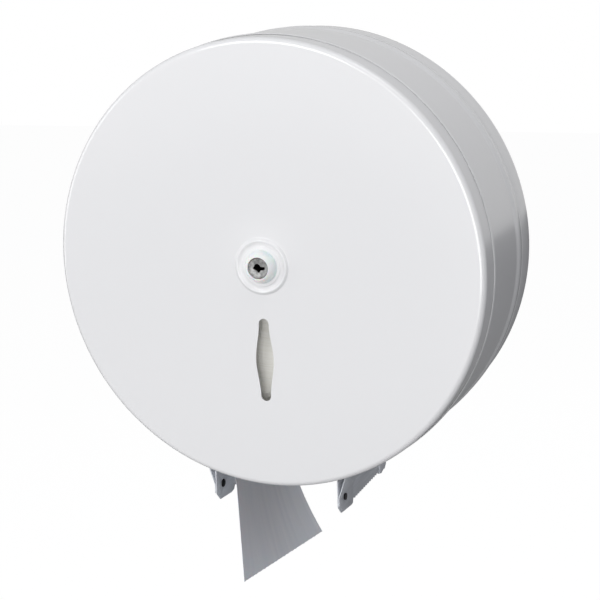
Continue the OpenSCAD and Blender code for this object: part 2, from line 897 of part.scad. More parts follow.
// The cam points up when the lock is open and turns to the right behind the keeper's lip.
module lock_cam() {
    color(zinc)
        on_spindle()
            translate([0, 0, cam_low])
                difference() {
                    union() {
                        cylinder(r = cam_boss_r, h = cam_t);
                        translate([-cam_w / 2, 0, 0]) cube([cam_w, cam_reach, cam_t]);
                    }
                    translate([0, 0, -over]) cylinder(r = tail_rod_r, h = cam_t + 2 * over);
                }
}

module cam_nut() {
    color(dark_zinc)
        on_spindle()
            translate([0, 0, cam_low - cam_nut_t])
                difference() {
                    cylinder(r = tail_rod_r + 2, h = cam_nut_t, $fn = 6);
                    translate([0, 0, -over]) cylinder(r = tail_rod_r, h = cam_nut_t + 2 * over);
                }
}

// Roll

// The bearing tube runs on the post, and its web carries the sleeve.
module hub_bearing() {
    bearing_r = post_r + hub_clear;
    color(hub_grey)
        on_spindle()
            rotate_extrude() {
                translate([bearing_r, hub_rear])
                    square([hub_bearing_wall, hub_bearing_end - hub_rear]);
                translate([bearing_r, roll_h + hub_web_in])
                    square([sleeve_in - bearing_r, hub_web_t]);
            }
}

// The sleeve fills the core and stops the roll with a collar at its rear.
module hub_sleeve() {
    collar_h = roll_h - end_gap - collar_t;
    color(hub_grey)
        on_spindle()
            rotate_extrude() {
                translate([sleeve_in, collar_h]) square([hub_wall, hub_front - collar_h]);
                translate([sleeve_in, collar_h]) square([collar_r - sleeve_in, collar_t]);
            }
}

module roll_core() {
    color(card_brown)
        on_spindle() tube(core_r, hub_r, roll_h, roll_front);
}

module paper_roll() {
    color(paper_white)
        on_spindle() tube(roll_r, core_r, roll_h, roll_front);
}

// Paper tail

// How far the sheet has moved sideways by drift and curl at a share t of its way from the bend to
// its end; across is 0 at its front edge and 1 at its rear edge.
function tail_aside(t, across) = t * tail_drift + across * t * t * tail_sweep;

// Points down one line of the sheet as [sideways, up]: off the roll, round the bend and hanging.
function tail_line(across) =
    let (
        drop = tail_drop - across * tail_lift,
        length = tail_bend_l + drop
    )
        concat(
            [for (i = [0:3]) tail_start + i / 4 * tail_run * [1, -1]],
            [
                for (i = [0:tail_steps_bend - 1])
                    let (
                        share = i / tail_steps_bend,
                        a = 45 * (1 - share)
                    )
                        tail_start + tail_run * [1, -1]
                            + tail_bend * [cos(a) - cos(45), sin(a) - sin(45)]
                            + [tail_aside(share * tail_bend_l / length, across), 0]
            ],
            [
                for (i = [0:tail_steps_down])
                    let (
                        share = i / tail_steps_down,
                        t = (tail_bend_l + share * drop) / length
                    )
                        [-tail_x + tail_aside(t, across), tail_hang - share * drop]
            ]
        );

function unit(v) = v / norm(v);

// One face of the sheet, half its thickness to one side of the line.
function tail_side(line, offset) = [
    for (i = [0:len(line) - 1])
        let (
            before = line[max(i - 1, 0)],
            after = line[min(i + 1, len(line) - 1)],
            along = unit(after - before)
        )
            line[i] + offset * [-along[1], along[0]]
];

function two_triangles(a, b, c, d) = [[a, b, c], [a, c, d]];

// The sheet as one closed solid: two sides and the four edges between them.
module paper_tail() {
    rows = 4 + tail_steps_bend + tail_steps_down;
    cols = tail_strips;
    per_side = (rows + 1) * (cols + 1);
    lines = [for (j = [0:cols]) tail_line(j / cols)];
    points = [
        for (offset = [-tail_t / 2, tail_t / 2])
            let (sides = [for (line = lines) tail_side(line, offset)])
                for (i = [0:rows], j = [0:cols])
                    [sides[j][i][0], -(roll_front - roll_w * j / cols), sides[j][i][1]]
    ];
    left = [for (i = [0:rows]) [for (j = [0:cols]) i * (cols + 1) + j]];
    right = [for (i = [0:rows]) [for (j = [0:cols]) per_side + i * (cols + 1) + j]];
    faces = concat(
        [
            for (i = [0:rows - 1], j = [0:cols - 1])
                each two_triangles(right[i][j], right[i][j + 1], right[i + 1][j + 1], right[i + 1][j])
        ],
        [
            for (i = [0:rows - 1], j = [0:cols - 1])
                each two_triangles(left[i + 1][j], left[i + 1][j + 1], left[i][j + 1], left[i][j])
        ],
        [
            for (j = [0:cols - 1])
                each two_triangles(right[0][j + 1], right[0][j], left[0][j], left[0][j + 1])
        ],
        [
            for (j = [0:cols - 1])
                each two_triangles(right[rows][j], right[rows][j + 1], left[rows][j + 1], left[rows][j])
        ],
        [
            for (i = [0:rows - 1])
                each two_triangles(right[i][0], right[i + 1][0], left[i + 1][0], left[i][0])
        ],
        [
            for (i = [0:rows - 1])
                each two_triangles(right[i + 1][cols], right[i][cols], left[i][cols], left[i + 1][cols])
        ]
    );
    color(paper_white) polyhedron(points, faces);
}

back_plate();
spindle_foot();
foot_rivets();
spindle_post();
rear_washer();
front_washer();
retaining_clip();
lock_keeper();
keeper_screw();
hinge_leaf_fixed();
hinge_rivets_fixed();
hinge_pin();
paper_tail();
cover_pan();
cover_band();
hinge_leaf_cover();
hinge_rivets_cover();
cheek_left();
cheek_right();
cutter_left();
cutter_right();
cutter_rivets_left();
cutter_rivets_right();
lock_nose();
lock_barrel();
lock_nut();
lock_plug();
lock_cam();
cam_nut();
hub_bearing();
hub_sleeve();
roll_core();
paper_roll();
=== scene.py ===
import json
import math

import bmesh
import bpy
from mathutils import Matrix, Vector, noise

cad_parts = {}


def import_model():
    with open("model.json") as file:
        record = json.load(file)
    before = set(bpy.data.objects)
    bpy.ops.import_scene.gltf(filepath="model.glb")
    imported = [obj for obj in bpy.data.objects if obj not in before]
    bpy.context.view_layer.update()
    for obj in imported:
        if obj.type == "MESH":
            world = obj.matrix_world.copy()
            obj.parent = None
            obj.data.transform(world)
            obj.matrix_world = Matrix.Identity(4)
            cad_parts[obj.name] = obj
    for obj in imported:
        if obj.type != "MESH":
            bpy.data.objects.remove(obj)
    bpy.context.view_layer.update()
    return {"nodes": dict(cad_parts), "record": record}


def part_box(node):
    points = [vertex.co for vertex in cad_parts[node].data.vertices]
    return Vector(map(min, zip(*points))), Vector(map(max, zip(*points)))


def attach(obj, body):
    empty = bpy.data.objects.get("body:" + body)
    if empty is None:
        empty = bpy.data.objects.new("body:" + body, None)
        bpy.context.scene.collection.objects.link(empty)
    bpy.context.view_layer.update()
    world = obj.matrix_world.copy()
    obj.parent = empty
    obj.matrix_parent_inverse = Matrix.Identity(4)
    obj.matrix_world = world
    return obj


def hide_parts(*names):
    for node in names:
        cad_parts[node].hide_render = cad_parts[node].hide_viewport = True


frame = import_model()

# Units and places
# Shapes are written in millimetres: x to the right, up, and out of the wall towards the user.

MM = 0.001


def place(x, up, out):
    """A point of the frame, in metres."""
    return Vector((x * MM, -out * MM, up * MM))


def box_mm(node):
    """Lowest and highest corner of a CAD node, in millimetres, as (x, up, out) each."""
    low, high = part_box(node)
    return (
        Vector((low.x, low.z, -high.y)) / MM,
        Vector((high.x, high.z, -low.y)) / MM,
    )


def arc(centre, radius, start, end, steps):
    """Points on an arc in a plane, with its angles in degrees."""
    turns = [math.radians(start + (end - start) * i / steps) for i in range(steps + 1)]
    return [(centre[0] + radius * math.cos(t), centre[1] + radius * math.sin(t)) for t in turns]


def ease(t):
    """0 to 1 with a soft start and end."""
    t = min(max(t, 0), 1)
    return (1 - math.cos(math.pi * t)) / 2


# Driving sizes, from the frame

pan_low, pan_high = box_mm("cover_pan")
band_low, band_high = box_mm("cover_band")
_, back_high = box_mm("back_plate")
roll_low, roll_high = box_mm("paper_roll")
core_low, core_high = box_mm("roll_core")
nose_low, nose_high = box_mm("lock_nose")
plug_low, plug_high = box_mm("lock_plug")
tail_low, tail_high = box_mm("paper_tail")

SHEET = 0.7
BOSS_HEIGHT = 1.3
SEAT_HEIGHT = 0.9
BOSS_R = 19.6
COVER_R = pan_high.x
FACE = pan_high.z - BOSS_HEIGHT
SPINDLE_UP = (roll_low.y + roll_high.y) / 2
SKIRT_R = band_high.x
BAND_R = COVER_R + SHEET
SLOT_EDGE = 50.0
SLOT_FRONT = 109.0
SLOT_REACH = 35.0
BEYOND = 5.0
CLOSE = 0.02


# Materials


def colour(text):
    """An sRGB hex value as linear colour with alpha."""
    channels = [int(text[i : i + 2], 16) / 255 for i in (1, 3, 5)]
    linear = [c / 12.92 if c <= 0.04045 else ((c + 0.055) / 1.055) ** 2.4 for c in channels]
    return (*linear, 1.0)


def add(tree, kind, inputs=None, **settings):
    """Adds a node with its settings, and fills or links its inputs."""
    node = tree.nodes.new(kind)
    for name, value in settings.items():
        setattr(node, name, value)
    for key, value in (inputs or {}).items():
        if isinstance(value, bpy.types.NodeSocket):
            tree.links.new(value, node.inputs[key])
        else:
            node.inputs[key].default_value = value
    return node


def new_material(name, base, roughness, metallic=0.0, **sockets):
    """A Principled material and its tree and shader."""
    material = bpy.data.materials.new(name)
    material.use_nodes = True
    tree = material.node_tree
    shader = tree.nodes["Principled BSDF"]
    shader.inputs["Base Color"].default_value = colour(base)
    shader.inputs["Roughness"].default_value = roughness
    shader.inputs["Metallic"].default_value = metallic
    for key, value in sockets.items():
        shader.inputs[key.replace("_", " ")].default_value = value
    return material, tree, shader


def pattern(tree, wavelength_mm, detail=2.0, stretch=(1, 1, 1), centre=(0, 0, 0)):
    """Noise on object coordinates, with one ripple for each wavelength."""
    where = add(tree, "ShaderNodeTexCoord")
    scale = tuple(s / (wavelength_mm * MM) for s in stretch)
    mapped = add(
        tree, "ShaderNodeMapping",
        {"Vector": where.outputs["Object"], "Scale": scale,
         "Location": tuple(-c * s for c, s in zip(centre, scale))},
    )
    return add(
        tree, "ShaderNodeTexNoise",
        {"Vector": mapped.outputs["Vector"], "Scale": 1.0, "Detail": detail},
    )


def link_bump(tree, shader, height, depth_mm):
    """Raises a shader's surface by a height output."""
    bump = add(tree, "ShaderNodeBump", {"Height": height, "Distance": depth_mm * MM})
    tree.links.new(bump.outputs["Normal"], shader.inputs["Normal"])


def link_range(tree, shader, socket, value, low, high):
    """Drives a shader's number by a pattern, from low to high."""
    ranged = add(
        tree, "ShaderNodeMapRange",
        {"Value": value, "From Min": 0.3, "From Max": 0.7, "To Min": low, "To Max": high},
    )
    tree.links.new(ranged.outputs["Result"], shader.inputs[socket])


def link_colour(tree, shader, value, first, second, low=0.3, high=0.7):
    """Blends the base colour between two hex values by a pattern."""
    ramp = add(tree, "ShaderNodeValToRGB", {"Fac": value})
    ramp.color_ramp.elements[0].position = low
    ramp.color_ramp.elements[0].color = colour(first)
    ramp.color_ramp.elements[1].position = high
    ramp.color_ramp.elements[1].color = colour(second)
    tree.links.new(ramp.outputs["Color"], shader.inputs["Base Color"])


def radius_from(tree, x_mm, up_mm):
    """Distance from an axis along Y, in metres."""
    where = add(tree, "ShaderNodeTexCoord")
    shifted = add(
        tree, "ShaderNodeMapping",
        {"Vector": where.outputs["Object"], "Location": (-x_mm * MM, 0, -up_mm * MM), "Scale": (1, 0, 1)},
    )
    length = add(tree, "ShaderNodeVectorMath", {0: shifted.outputs["Vector"]}, operation="LENGTH")
    return length.outputs["Value"], shifted.outputs["Vector"]


def powder_coat():
    """Epoxy powder coat on sheet steel: glossy white with the faint ripple of baked powder."""
    material, tree, shader = new_material(
        "white_epoxy_powder_coat", "#ececed", 0.34, Coat_Weight=1.0, Coat_Roughness=0.16
    )
    # The real ripple is 1 to 2 mm across and is drawn at 3 mm so that it shows
    ripple = pattern(tree, 3.0, 2.0)
    link_bump(tree, shader, ripple.outputs["Fac"], 0.005)
    cloud = pattern(tree, 60.0, 3.0)
    link_range(tree, shader, "Roughness", cloud.outputs["Fac"], 0.3, 0.315)
    return material


def zinc_plate():
    """Bright zinc plating on pressed steel: cool grey with soft mottling and rolling lines."""
    material, tree, shader = new_material("zinc_plated_steel", "#b4b8bd", 0.34, 1.0)
    mottle = pattern(tree, 6.0, 4.0)
    link_colour(tree, shader, mottle.outputs["Fac"], "#a4a9ae", "#c6cacf")
    rolled = pattern(tree, 1.2, 2.0, stretch=(1, 1, 0.06))
    link_range(tree, shader, "Roughness", rolled.outputs["Fac"], 0.26, 0.44)
    link_bump(tree, shader, rolled.outputs["Fac"], 0.008)
    return material


def black_steel():
    """Oil-blackened steel: near black with a satin shine."""
    material, tree, shader = new_material("blackened_steel", "#19191b", 0.32, 0.7)
    grain = pattern(tree, 0.8, 3.0)
    link_colour(tree, shader, grain.outputs["Fac"], "#121214", "#26262a")
    link_range(tree, shader, "Roughness", grain.outputs["Fac"], 0.26, 0.42)
    return material


def turned_nickel():
    """Nickel-plated die casting with a turned face: fine rings round the keyway."""
    material, tree, shader = new_material("turned_nickel_plate", "#a9a9a8", 0.36, 1.0)
    radius, _ = radius_from(tree, 0, SPINDLE_UP)
    # Turning marks 0.05 mm apart are drawn at 0.45 mm
    steps = add(tree, "ShaderNodeMath", {0: radius, 1: 2 * math.pi / (0.45 * MM)}, operation="MULTIPLY")
    rings = add(tree, "ShaderNodeMath", {0: steps.outputs["Value"]}, operation="SINE")
    scuff = pattern(tree, 1.6, 4.0)
    link_colour(tree, shader, scuff.outputs["Fac"], "#8d8e8e", "#bdbdbc")
    link_range(tree, shader, "Roughness", scuff.outputs["Fac"], 0.3, 0.5)
    link_bump(tree, shader, rings.outputs["Value"], 0.01)
    return material


def keyway_shadow():
    """Painted shade inside the keyway: the plug's metal, deep in the hole, painted almost black with a little
    satin shine.
    """
    material, tree, shader = new_material("keyway_painted_shade", "#0b0b0b", 0.5, 0.2)
    shade_sheen_noise = pattern(tree, 0.9, 2.0)
    link_range(tree, shader, "Roughness", shade_sheen_noise.outputs["Fac"], 0.4, 0.65)
    return material


def moulded_hub():
    """Injection-moulded grey ABS: fine spark texture and a dull shine."""
    material, tree, shader = new_material("moulded_grey_abs", "#868b90", 0.5)
    spark = pattern(tree, 0.7, 3.0)
    link_bump(tree, shader, spark.outputs["Fac"], 0.02)
    link_range(tree, shader, "Roughness", spark.outputs["Fac"], 0.42, 0.58)
    return material


def moulded_nose():
    """Injection-moulded white acetal: brighter than the enamel, slightly translucent and silky."""
    material, tree, shader = new_material(
        "moulded_white_acetal", "#fdfdfc", 0.3, Subsurface_Weight=0.35, Subsurface_Scale=0.003
    )
    flow = pattern(tree, 5.0, 3.0)
    link_range(tree, shader, "Roughness", flow.outputs["Fac"], 0.24, 0.36)
    return material


def lacquered_strip():
    """Grey-lacquered strip: a cool light grey with the strip's rolling lines along the blade."""
    material, tree, shader = new_material("grey_lacquered_strip", "#d6d9df", 0.42, 0.1)
    rolled = pattern(tree, 1.4, 3.0, stretch=(1, 0.06, 1))
    link_colour(tree, shader, rolled.outputs["Fac"], "#d0d3d9", "#dcdfe4")
    link_range(tree, shader, "Roughness", rolled.outputs["Fac"], 0.36, 0.5)
    return material


def wound_board():
    """Spiral-wound core board: brown-grey pulp with flecks and slanting ply seams."""
    material, tree, shader = new_material("spiral_wound_core_board", "#b69a74", 0.85)
    fleck = pattern(tree, 1.1, 4.0)
    link_colour(tree, shader, fleck.outputs["Fac"], "#a0845f", "#c6ad89", 0.35, 0.65)
    ply = pattern(tree, 3.0, 2.0, stretch=(1, 0.15, 1))
    link_bump(tree, shader, ply.outputs["Fac"], 0.06)
    return material


def roll_tissue():
    """The wound roll: cream tissue whose ends show fine rings of layers."""
    material, tree, shader = new_material("wound_tissue", "#fbfaf3", 0.95, Sheen_Weight=0.25)
    radius, flat = radius_from(tree, 0, SPINDLE_UP)
    # Layers 0.2 mm thick are drawn as rings of about 0.9 mm
    spread = add(tree, "ShaderNodeVectorMath", {0: flat, 1: (14, 0, 14)}, operation="MULTIPLY")
    ring = add(tree, "ShaderNodeMath", {0: radius, 1: 1 / (0.9 * MM)}, operation="MULTIPLY")
    lifted = add(tree, "ShaderNodeCombineXYZ", {"Y": ring.outputs["Value"]})
    mixed = add(
        tree, "ShaderNodeVectorMath", {0: spread.outputs["Vector"], 1: lifted.outputs["Vector"]},
        operation="ADD",
    )
    layers = add(tree, "ShaderNodeTexNoise", {"Vector": mixed.outputs["Vector"], "Scale": 1.0, "Detail": 3.0})
    link_colour(tree, shader, layers.outputs["Fac"], "#efede3", "#fdfcf7", 0.25, 0.7)
    link_bump(tree, shader, layers.outputs["Fac"], 0.25)
    return material


def tail_tissue():
    """The hanging sheet: the roll's white tissue painted a cool grey as painted shade, with grey streaks
    along it, finely creped.
    """
    material, tree, shader = new_material(
        "creped_tissue_painted_shade", "#d4d8de", 0.95, Sheen_Weight=0.08, Subsurface_Weight=0.1,
        Subsurface_Scale=0.002,
    )
    streak = pattern(tree, 5.0, 3.0, stretch=(0.05, 1, 0.05))
    # Streaks along the sheet vary the painted shade between two cool greys
    link_colour(tree, shader, streak.outputs["Fac"], "#d0d4db", "#d9dce1")
    # Crepe lines 0.3 mm apart are drawn at 1.1 mm
    crepe = pattern(tree, 1.1, 3.0, stretch=(1, 0.12, 1))
    link_bump(tree, shader, crepe.outputs["Fac"], 0.04)
    return material


white = powder_coat()
zinc = zinc_plate()
black = black_steel()
nickel = turned_nickel()
# Painted shade for the inside of the keyway
key_dark = keyway_shadow()
hub_abs = moulded_hub()
moulded_white = moulded_nose()
strip = lacquered_strip()
board = wound_board()
tissue = roll_tissue()
sheet_tissue = tail_tissue()


# Meshes


def make(name, points, faces, material, smooth=35.0):
    """An object from points in metres, merged, facing outwards, smooth below an angle."""
    mesh = bpy.data.meshes.new(name)
    mesh.from_pydata([tuple(p) for p in points], [], faces)
    cleaned(mesh)
    mesh.materials.append(material)
    shade(mesh, smooth)
    piece = bpy.data.objects.new(name, mesh)
    bpy.context.scene.collection.objects.link(piece)
    return piece


def cleaned(mesh):
    """Merges doubles and turns the faces outwards."""
    work = bmesh.new()
    work.from_mesh(mesh)
    bmesh.ops.remove_doubles(work, verts=work.verts, dist=0.002 * MM)
    bmesh.ops.dissolve_degenerate(work, edges=work.edges, dist=0.001 * MM)
    bmesh.ops.recalc_face_normals(work, faces=work.faces)
    work.to_mesh(mesh)
    work.free()


def shade(mesh, angle):
    mesh.polygons.foreach_set("use_smooth", [True] * len(mesh.polygons))
    mesh.set_sharp_from_angle(angle=math.radians(angle))
    mesh.update()


def lathe(name, outline, material, segments=192, up=lambda r: 0.0, closed=True, smooth=35.0):
    """Turns an outline of (radius, out) round the drum's axis; up gives the centre's height by radius."""
    points, faces = [], []
    count = len(outline)
    for s in range(segments):
        turn = 2 * math.pi * s / segments
        for r, out in outline:
            points.append(place(r * math.cos(turn), up(r) + r * math.sin(turn), out))
    for s in range(segments):
        after = (s + 1) % segments
        for i in range(count if closed else count - 1):
            j = (i + 1) % count
            faces.append([s * count + i, s * count + j, after * count + j, after * count + i])
    return make(name, points, faces, material, smooth)


def on_spindle(_radius):
    """The centre's height for what turns on the spindle, the same at every radius."""
    return SPINDLE_UP


def prism(name, outline, low, high, axis, material=None):
    """A straight solid from a flat outline of (x, up) points along 'out', or (out, up) along 'x'."""

    def point(a, b, c):
        return place(a, b, c) if axis == "out" else place(c, b, a)

    count = len(outline)
    points = [point(a, b, c) for c in (low, high) for a, b in outline]
    faces = [list(range(count)), list(range(2 * count - 1, count - 1, -1))]
    faces += [[i, (i + 1) % count, count + (i + 1) % count, count + i] for i in range(count)]
    return make(name, points, faces, material or white)


def box_cutter(low, high):
    """A box to cut with, between two corners (x, up, out)."""
    outline = [(low[0], low[1]), (high[0], low[1]), (high[0], high[1]), (low[0], high[1])]
    return prism("cut", outline, low[2], high[2], "out")


def cut(piece, *cutters):
    """Takes the shapes of the given tools out of a piece, and removes the tools."""
    for tool in cutters:
        change = piece.modifiers.new("cut", "BOOLEAN")
        change.operation = "DIFFERENCE"
        change.solver = "EXACT"
        change.object = tool
    settle(piece)
    for tool in cutters:
        bpy.data.objects.remove(tool)


def settle(piece, smooth=35.0):
    """Turns a piece with its modifiers into a plain mesh."""
    graph = bpy.context.evaluated_depsgraph_get()
    mesh = bpy.data.meshes.new_from_object(piece.evaluated_get(graph))
    piece.modifiers.clear()
    piece.data = mesh
    shade(mesh, smooth)


def bevelled(piece, width_mm, segments=2, angle=40.0):
    """Rounds a piece's sharp edges, as bending, coating and tumbling do."""
    change = piece.modifiers.new("edges", "BEVEL")
    change.width = width_mm * MM
    change.segments = segments
    change.limit_method = "ANGLE"
    change.angle_limit = math.radians(angle)
    change.use_clamp_overlap = True
    settle(piece)


def stands_for(piece, node, body):
    """Hides a CAD node behind the piece that shows it."""
    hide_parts(node)
    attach(piece, body)


def body_of_node(node):
    return next(b for b, members in frame["record"]["behaviour"]["bodies"].items() if node in members)


def softened(node, material, width_mm):
    """A copy of a CAD node with rounded edges, in the node's place."""
    source = frame["nodes"][node].data
    mesh = source.copy()
    mesh.name = node + "_edges"
    mesh.materials.clear()
    work = bmesh.new()
    work.from_mesh(mesh)
    bmesh.ops.remove_doubles(work, verts=work.verts, dist=0.002 * MM)
    bmesh.ops.dissolve_limit(
        work, angle_limit=math.radians(0.5), verts=work.verts, edges=work.edges
    )
    work.to_mesh(mesh)
    work.free()
    mesh.materials.append(material)
    piece = bpy.data.objects.new(node + "_dressed", mesh)
    bpy.context.scene.collection.objects.link(piece)
    bevelled(piece, width_mm)
    stands_for(piece, node, body_of_node(node))
    return piece


# Cover


def window_outline():
    """The sight window: a slim lozenge with soft sides and round ends, as (x, up)."""
    down, length, middle, end = 62.0, 57.0, 12.8, 7.2
    half = length / 2 - end / 2
    steps = 24
    right = [
        (end / 2 + (middle - end) / 2 * (1 + math.cos(math.pi * t)) / 2, t * half)
        for t in [-1 + 2 * i / steps for i in range(steps + 1)]
    ]
    top = arc((0, half), end / 2, 0, 180, 16)[1:-1]
    side = right + top
    return [(x, y - down) for x, y in side] + [(-x, -y - down) for x, y in side]


def ring_outline():
    """The embossed ring round the lock, from the lock's hole outwards, as (radius, height)."""
    hole, steps = 8.2, 10
    foot_in, crest, valley = 15.0, 17.3, 0.3
    rise_in = [
        (13.9 - 1.0 * i / 6, valley + (SEAT_HEIGHT - valley) * ease(i / 6)) for i in range(7)
    ][::-1]
    up_side = [
        (foot_in + (crest - foot_in) * i / steps, valley + (BOSS_HEIGHT - valley) * ease(i / steps))
        for i in range(steps + 1)
    ]
    down_side = [
        (crest + (BOSS_R - crest) * i / steps, BOSS_HEIGHT * (1 - ease(i / steps)))
        for i in range(1, steps + 1)
    ]
    return [(hole, SEAT_HEIGHT)] + rise_in + up_side + down_side


def front_pan():
    """Drawn face with rounded edge and short side, the ring round the lock and the window."""
    rounding, draft, straight = 4.0, 0.8, 4.0
    side_end = pan_low.z
    ring = [(r, FACE + h) for r, h in ring_outline()]
    under = [(r, out - SHEET) for r, out in ring][::-1]
    corner = (COVER_R - draft - rounding, FACE - rounding)
    outer = arc(corner, rounding, 90, 2, 14) + [(COVER_R, side_end + straight), (COVER_R, side_end)]
    inner = [(COVER_R - SHEET, side_end), (COVER_R - SHEET, side_end + straight)]
    inner += arc(corner, rounding - SHEET, 2, 90, 10)
    flat = [(40, FACE), (90, FACE)]
    flat_under = [(r, out - SHEET) for r, out in flat][::-1]
    outline = ring + flat + outer + inner + flat_under + under

    def centre(r):
        """The rings' centre goes from the spindle to the drum's axis over 40 mm of radius."""
        return SPINDLE_UP * (1 - ease((r - 30) / 40))

    pan = lathe("front_pan", outline, white, 256, centre)
    cut(
        pan,
        prism("window_cut", window_outline(), FACE - 3, FACE + 3, "out"),
        box_cutter((-SLOT_EDGE, -COVER_R - BEYOND, 80), (SLOT_EDGE, -COVER_R + SLOT_REACH, SLOT_FRONT)),
    )
    bevelled(pan, 0.22, 3)
    stands_for(pan, "cover_pan", "cover")


def wrapped_band():
    """Band round the pan's side, which flares over the back plate's neck and ends in a rolled edge."""
    swage_middle, swage_length, fold, fold_length = 37.0, 8.0, 0.66, 3.5
    steps = 12
    top = swage_middle + swage_length / 2
    swage = [
        (BAND_R + (SKIRT_R - BAND_R) * ease(i / steps), top - swage_length * i / steps)
        for i in range(steps + 1)
    ]
    rear = band_low.z
    # Each step of the rolled edge: how far it is sunk, and how far from the rear end
    rolled = [
        (0.1, 3.9), (0.25, 3.2), (0.3, 2.6), (0.2, 2.0),
        (0.02, 1.4), (0.02, 0.7), (0.2, 0.15), (0.4, 0.0),
    ]
    front_edge = [
        (BAND_R - fold + c, band_high.z - fold_length + s * fold_length / fold)
        for c, s in arc((0, 0), fold, 90, 0, 8)
    ]
    outer = (
        front_edge
        + swage
        + [(SKIRT_R - sunk, rear + along) for sunk, along in rolled]
    )
    inner = [
        (SKIRT_R - SHEET + CLOSE, rear), (SKIRT_R - SHEET + CLOSE, top - swage_length),
        (BAND_R - SHEET + CLOSE, top), (BAND_R - SHEET + CLOSE, band_high.z),
    ]
    band = lathe("wrapped_band", outer + inner, white, 256)
    slot = box_cutter((-SLOT_EDGE, -SKIRT_R - BEYOND, -BEYOND), (SLOT_EDGE, -SKIRT_R + SLOT_REACH, 130))
    cut(band, slot)
    stands_for(band, "cover_band", "cover")


def rear_plate():
    """Dished back plate: pressed bead, wall-screw holes, and a rim whose neck is under the cover."""
    sheet, radius, rim, draft = 0.8, back_high.x, back_high.z, 0.3
    neck, shoulder, turned = back_high.x - 0.6, 23.5, 0.6
    bead_r, bead_half, bead_h, corner = 104.0, 6.0, 3.0, 1.2
    screw_at, screw_r = 65, 2.75
    slot_half, notch_half, notch_front = SLOT_EDGE + 3, 10, 9
    steps = 16
    bead = [
        (bead_r - bead_half + 2 * bead_half * i / steps, bead_h * ease(1 - abs(2 * i / steps - 1)))
        for i in range(steps + 1)
    ]
    turn = (radius - draft - corner, corner)
    # A ring just inside the bead keeps the shading of its foot off the flat
    flat_r = bead_r - bead_half - 1
    outer = [(0, 0), (flat_r, 0)] + bead + arc(turn, corner, -90, 0, 8)
    outer += arc((radius - turned, shoulder - turned), turned, 0, 90, 6) + [(neck, shoulder), (neck, rim)]
    inner = (
        [(neck - sheet, rim), (neck - sheet, shoulder - 0.5), (radius - sheet, shoulder - 1.6)]
        + arc(turn, corner - sheet, 0, -90, 8)
        + [(r, out + sheet) for r, out in bead][::-1]
        + [(flat_r, sheet), (0, sheet)]
    )
    plate = lathe("rear_plate", outer + inner, white, 224, closed=False)
    holes = [
        prism("hole", arc((screw_at * a, screw_at * b), screw_r, 0, 345, 23), -1, 6, "out")
        for a in (-1, 1) for b in (-1, 1)
    ]
    cut(
        plate,
        box_cutter((-slot_half, -radius - 1, sheet), (slot_half, -radius + 39, rim + 1)),
        box_cutter((-radius - 1, -notch_half, sheet), (-radius + 19, notch_half, notch_front)),
        *holes,
    )
    bevelled(plate, 0.2, 2)
    stands_for(plate, "back_plate", "root")


# Lock


def nose():
    """The white domed ring round the plug."""
    bore, top_r, base_r = 7.2, 7.5, nose_high.x
    low, high = nose_low.z, nose_high.z
    height = high - low
    drop = (base_r**2 - top_r**2 - height**2) / (2 * height)
    ball = math.hypot(base_r, drop)
    start = math.degrees(math.atan2(drop, base_r))
    end = math.degrees(math.atan2(height + drop, top_r))
    dome = arc((0, low - drop), ball, start, end, 20)
    lip = arc((bore + 0.3, high - 0.35), 0.3, 90, 180, 5)
    hollow = [(bore, low + 1.5), (base_r - 1, low + 1.5), (base_r - 1, low)]
    piece = lathe("lock_nose_dome", dome + lip + hollow, moulded_white, 96, on_spindle)
    stands_for(piece, "lock_nose", "cover")


def keyway_outline(wider=0.0):
    """The keyway from the front: round middle, long wing to the right, two bulges; or a wider one."""
    outline = (
        arc((-0.6, 0.8), 2.2, 10, 165, 12)
        + [(-2.9, 0.75), (-3.5, 0.35), (-3.5, -0.45), (-2.7, -1.0), (-1.3, -1.3)]
        + arc((0.4, -1.75), 1.05, 190, 340, 7)
        + [(1.7, -1.3), (3.0, -1.2), (4.2, -1.0), (4.8, -0.4), (4.8, 0.7), (4.1, 1.05), (2.6, 1.05)]
    )
    return [(x * (1 + wider / 4), y * (1 + wider / 3)) for x, y in outline]


def plug():
    """The turning plug: chamfered face, keyway, body and square-shouldered tail."""
    face_r, body_r, tail_r = plug_high.x, 5.0, 3.0
    face, head_low = plug_high.z, 120.6
    barrel_end, tail_end = 98.2, plug_low.z
    key_depth, chamfer, chamfer_deep = 14, 0.35, 0.4
    outline = [
        (0, face - 0.12), (face_r * 0.55, face - 0.12), (face_r * 0.62, face), (face_r - 0.45, face),
        (face_r, face - 0.45), (face_r, head_low), (body_r, head_low), (body_r, barrel_end - 1),
        (tail_r, barrel_end - 1), (tail_r, tail_end), (0, tail_end),
    ]
    piece = lathe("lock_plug_turned", outline, nickel, 96, on_spindle, closed=False, smooth=30)
    opening = [(x, y + SPINDLE_UP) for x, y in keyway_outline()]
    bright = [(x, y + SPINDLE_UP) for x, y in keyway_outline(chamfer)]
    cut(
        piece,
        prism("keyway", opening, face - key_depth, face + 2, "out"),
        prism("keyway_chamfer", bright, face - chamfer_deep, face + 2, "out"),
    )
    piece.data.materials.append(key_dark)
    # The keyway's walls, seen edge on from the front, and its floor get the near-black painted shade
    wall_from, floor_at = face - 0.5, face - key_depth
    for polygon in piece.data.polygons:
        centre = polygon.center / MM
        across, out = math.hypot(centre.x, centre.z - SPINDLE_UP), -centre.y
        is_wall = across < 5.2 and floor_at - 1 < out < wall_from and abs(polygon.normal.y) < 0.5
        is_floor = across < 5 and abs(out - floor_at) < 0.1
        if is_wall or is_floor:
            polygon.material_index = 1
    stands_for(piece, "lock_plug", "lock")


# Rivets


